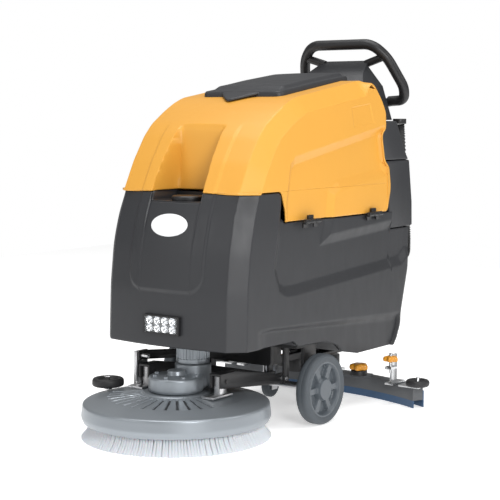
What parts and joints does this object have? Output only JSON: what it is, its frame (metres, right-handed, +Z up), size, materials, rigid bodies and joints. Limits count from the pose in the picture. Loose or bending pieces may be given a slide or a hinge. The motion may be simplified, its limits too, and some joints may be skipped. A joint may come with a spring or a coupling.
{
  "type": "wet dry floor scrubber",
  "caption": "Walk-behind wet dry floor scrubber with a disc brush, stacked water tanks, rear squeegee and a loop handle.",
  "frame": {"origin": "on the floor, under the middle of the machine's overall box", "axes": "+Z up, the machine travels towards -Y, +X is its left side"},
  "size_m": [0.81, 1.206, 1.1004],
  "materials": {
    "yellow_shell": "satin moulded yellow",
    "dark_shell": "fine grained dark grey moulded",
    "lid_grey": "satin dark grey",
    "black_plastic": "satin black",
    "black_steel": "black powder coat",
    "cast_silver": "fine cast silver",
    "steel": "zinc plated",
    "stainless": "brushed stainless",
    "bristle": "fine white filament",
    "brush_plate": "moulded plate",
    "tyre": "grey non-marking rubber",
    "rim": "grey moulded rim",
    "blue_rubber": "soft blade rubber",
    "soft_black": "soft black rubber",
    "squeegee_grey": "moulded grey",
    "knob_yellow": "moulded knob",
    "white_badge": "blank white badge",
    "reflector": "bright reflector",
    "lamp_glass": "clear lens",
    "battery_case": "battery case",
    "panel_film": "control film",
    "screen": "display window",
    "stop_red": "red button",
    "button_green": "green button",
    "button_blue": "blue button"
  },
  "bodies": {
    "chassis": {"chassis_frame": "black_steel", "axle_and_pins": "steel", "solution_tank": "dark_shell", "battery_1": "battery_case", "battery_2": "battery_case", "vacuum_motor": "cast_silver", "headlight_housing": "black_plastic", "headlight_lens": "lamp_glass", "headlight_reflectors": "reflector", "badge_plate": "white_badge", "rear_column_cover": "dark_shell", "column_riser": "dark_shell", "hinge_lower_leaves": "black_plastic", "console_housing": "dark_shell", "handle_ring": "black_plastic", "control_panel": "panel_film", "display_window": "screen", "lever_bracket": "black_steel", "drain_hose": "soft_black", "drain_fittings": "black_plastic"},
    "filler_cap": {"filler_cap": "black_plastic"},
    "recovery": {"recovery_tank": "yellow_shell", "hinge_upper_leaves": "black_plastic"},
    "lid": {"tank_lid": "lid_grey"},
    "deck_arms": {"lift_arms": "black_steel"},
    "deck": {"deck_cover": "cast_silver", "gearbox_housing": "cast_silver", "brush_motor": "cast_silver", "deck_brackets": "steel", "bumper_pin": "steel"},
    "brush": {"bristles": "bristle", "brush_block": "brush_plate", "brush_hub": "cast_silver"},
    "bumper": {"bumper_roller": "soft_black"},
    "link": {"upper_link": "black_steel"},
    "pedal": {"foot_pedal": "black_steel"},
    "swing": {"swing_arm": "black_steel", "suction_hose": "soft_black"},
    "squeegee": {"squeegee_body": "squeegee_grey", "rear_blade": "blue_rubber", "front_blade": "blue_rubber", "blade_strap": "stainless", "squeegee_brackets": "stainless", "squeegee_knobs": "knob_yellow"},
    "lever": {"lift_lever": "black_steel"},
    "start": {"start_button": "button_green"},
    "water": {"water_button": "button_blue"},
    "stop": {"stop_button": "stop_red"},
    "key": {"key_switch": "steel"},
    "speed": {"speed_knob": "black_plastic"},
    "wheel_left": {"tyre_left": "tyre", "wheel_rim_left": "rim"},
    "caster_left": {"caster_fork_left": "steel"},
    "caster_roll_left": {"caster_wheel_left": "tyre"},
    "roller_left": {"end_roller_left": "soft_black"},
    "wheel_right": {"tyre_right": "tyre", "wheel_rim_right": "rim"},
    "caster_right": {"caster_fork_right": "steel"},
    "caster_roll_right": {"caster_wheel_right": "tyre"},
    "roller_right": {"end_roller_right": "soft_black"}
  },
  "joints": [
    {"name": "deck_lift", "type": "hinge", "parent": "chassis", "child": "deck_arms", "pos_m": [0, -0.04998, 0.128], "axis": [-1, 0, 0], "range_deg": [0, 6.5]},
    {"name": "deck_level", "type": "hinge", "parent": "deck_arms", "child": "deck", "pos_m": [0, -0.31098, 0.158], "axis": [-1, 0, 0], "range_deg": [-6.6, 0.1]},
    {"name": "upper_link_turn", "type": "hinge", "parent": "chassis", "child": "link", "pos_m": [0, -0.06498, 0.173], "axis": [-1, 0, 0], "range_deg": [-0.1, 6.6]},
    {"name": "pedal_turn", "type": "hinge", "parent": "chassis", "child": "pedal", "pos_m": [0, 0.35402, 0.157], "axis": [-1, 0, 0], "range_deg": [-0.1, 11.2]},
    {"name": "brush_spin", "type": "hinge", "parent": "deck", "child": "brush", "pos_m": [0, -0.34598, 0], "axis": [0, 0, 1], "continuous": true},
    {"name": "bumper_spin", "type": "hinge", "parent": "deck", "child": "bumper", "pos_m": [-0.236, -0.35998, 0], "axis": [0, 0, 1], "continuous": true},
    {"name": "wheel_spin_left", "type": "hinge", "parent": "chassis", "child": "wheel_left", "pos_m": [0, 0.00002, 0.1], "axis": [1, 0, 0], "continuous": true},
    {"name": "caster_swivel_left", "type": "hinge", "parent": "chassis", "child": "caster_left", "pos_m": [0.091, 0.20602, 0], "axis": [0, 0, 1], "continuous": true},
    {"name": "caster_spin_left", "type": "hinge", "parent": "caster_left", "child": "caster_roll_left", "pos_m": [0.091, 0.22402, 0.037], "axis": [1, 0, 0], "continuous": true},
    {"name": "wheel_spin_right", "type": "hinge", "parent": "chassis", "child": "wheel_right", "pos_m": [0, 0.00002, 0.1], "axis": [1, 0, 0], "continuous": true},
    {"name": "caster_swivel_right", "type": "hinge", "parent": "chassis", "child": "caster_right", "pos_m": [-0.091, 0.20602, 0], "axis": [0, 0, 1], "continuous": true},
    {"name": "caster_spin_right", "type": "hinge", "parent": "caster_right", "child": "caster_roll_right", "pos_m": [-0.091, 0.22402, 0.037], "axis": [1, 0, 0], "continuous": true},
    {"name": "recovery_tip", "type": "hinge", "parent": "chassis", "child": "recovery", "pos_m": [0.248, 0, 0.578], "axis": [0, 1, 0], "range_deg": [0, 60]},
    {"name": "lid_open", "type": "hinge", "parent": "recovery", "child": "lid", "pos_m": [0, 0.31702, 0.965], "axis": [-1, 0, 0], "range_deg": [0, 75]},
    {"name": "filler_cap_open", "type": "hinge", "parent": "chassis", "child": "filler_cap", "pos_m": [0, -0.24198, 0.642], "axis": [-1, 0, 0], "range_deg": [0, 75]},
    {"name": "squeegee_swing", "type": "hinge", "parent": "chassis", "child": "swing", "pos_m": [0, 0.23902, 0], "axis": [0, 0, 1], "range_deg": [-12, 12]},
    {"name": "squeegee_lift", "type": "hinge", "parent": "swing", "child": "squeegee", "pos_m": [0, 0.29902, 0.095], "axis": [1, 0, 0], "range_deg": [0, 10], "deforming": ["suction_hose"]},
    {"name": "lift_lever_turn", "type": "hinge", "parent": "chassis", "child": "lever", "pos_m": [0, 0.58002, 0.572], "axis": [-1, 0, 0], "range_deg": [-0.4, 40.4]},
    {"name": "end_roller_spin_left", "type": "hinge", "parent": "squeegee", "child": "roller_left", "pos_m": [0.37, 0.32602, 0], "axis": [0, 0, 1], "continuous": true},
    {"name": "end_roller_spin_right", "type": "hinge", "parent": "squeegee", "child": "roller_right", "pos_m": [-0.37, 0.32602, 0], "axis": [0, 0, 1], "continuous": true},
    {"name": "start_press", "type": "slide", "parent": "chassis", "child": "start", "axis": [0, -0.8746, -0.4848], "range_m": [0, 0.0013], "stiffness_N_per_m": 200},
    {"name": "water_press", "type": "slide", "parent": "chassis", "child": "water", "axis": [0, -0.8746, -0.4848], "range_m": [0, 0.0013], "stiffness_N_per_m": 200},
    {"name": "stop_press", "type": "slide", "parent": "chassis", "child": "stop", "axis": [0, -0.8746, -0.4848], "range_m": [0, 0.0013], "stiffness_N_per_m": 300},
    {"name": "key_turn", "type": "hinge", "parent": "chassis", "child": "key", "pos_m": [-0.05, 0.55986, 0.89455], "axis": [0, 0.8746, 0.4848], "range_deg": [-90, 0]},
    {"name": "speed_turn", "type": "hinge", "parent": "chassis", "child": "speed", "pos_m": [-0.01, 0.55792, 0.89804], "axis": [0, 0.8746, 0.4848], "range_deg": [-135, 135]}
  ],
  "couplings": [
    {"joint": "deck_level", "follows": "deck_lift", "ratio": -1},
    {"joint": "upper_link_turn", "follows": "deck_lift", "ratio": 1},
    {"joint": "pedal_turn", "follows": "deck_lift", "ratio": 1.7},
    {"joint": "lift_lever_turn", "follows": "squeegee_lift", "ratio": 4}
  ]
}
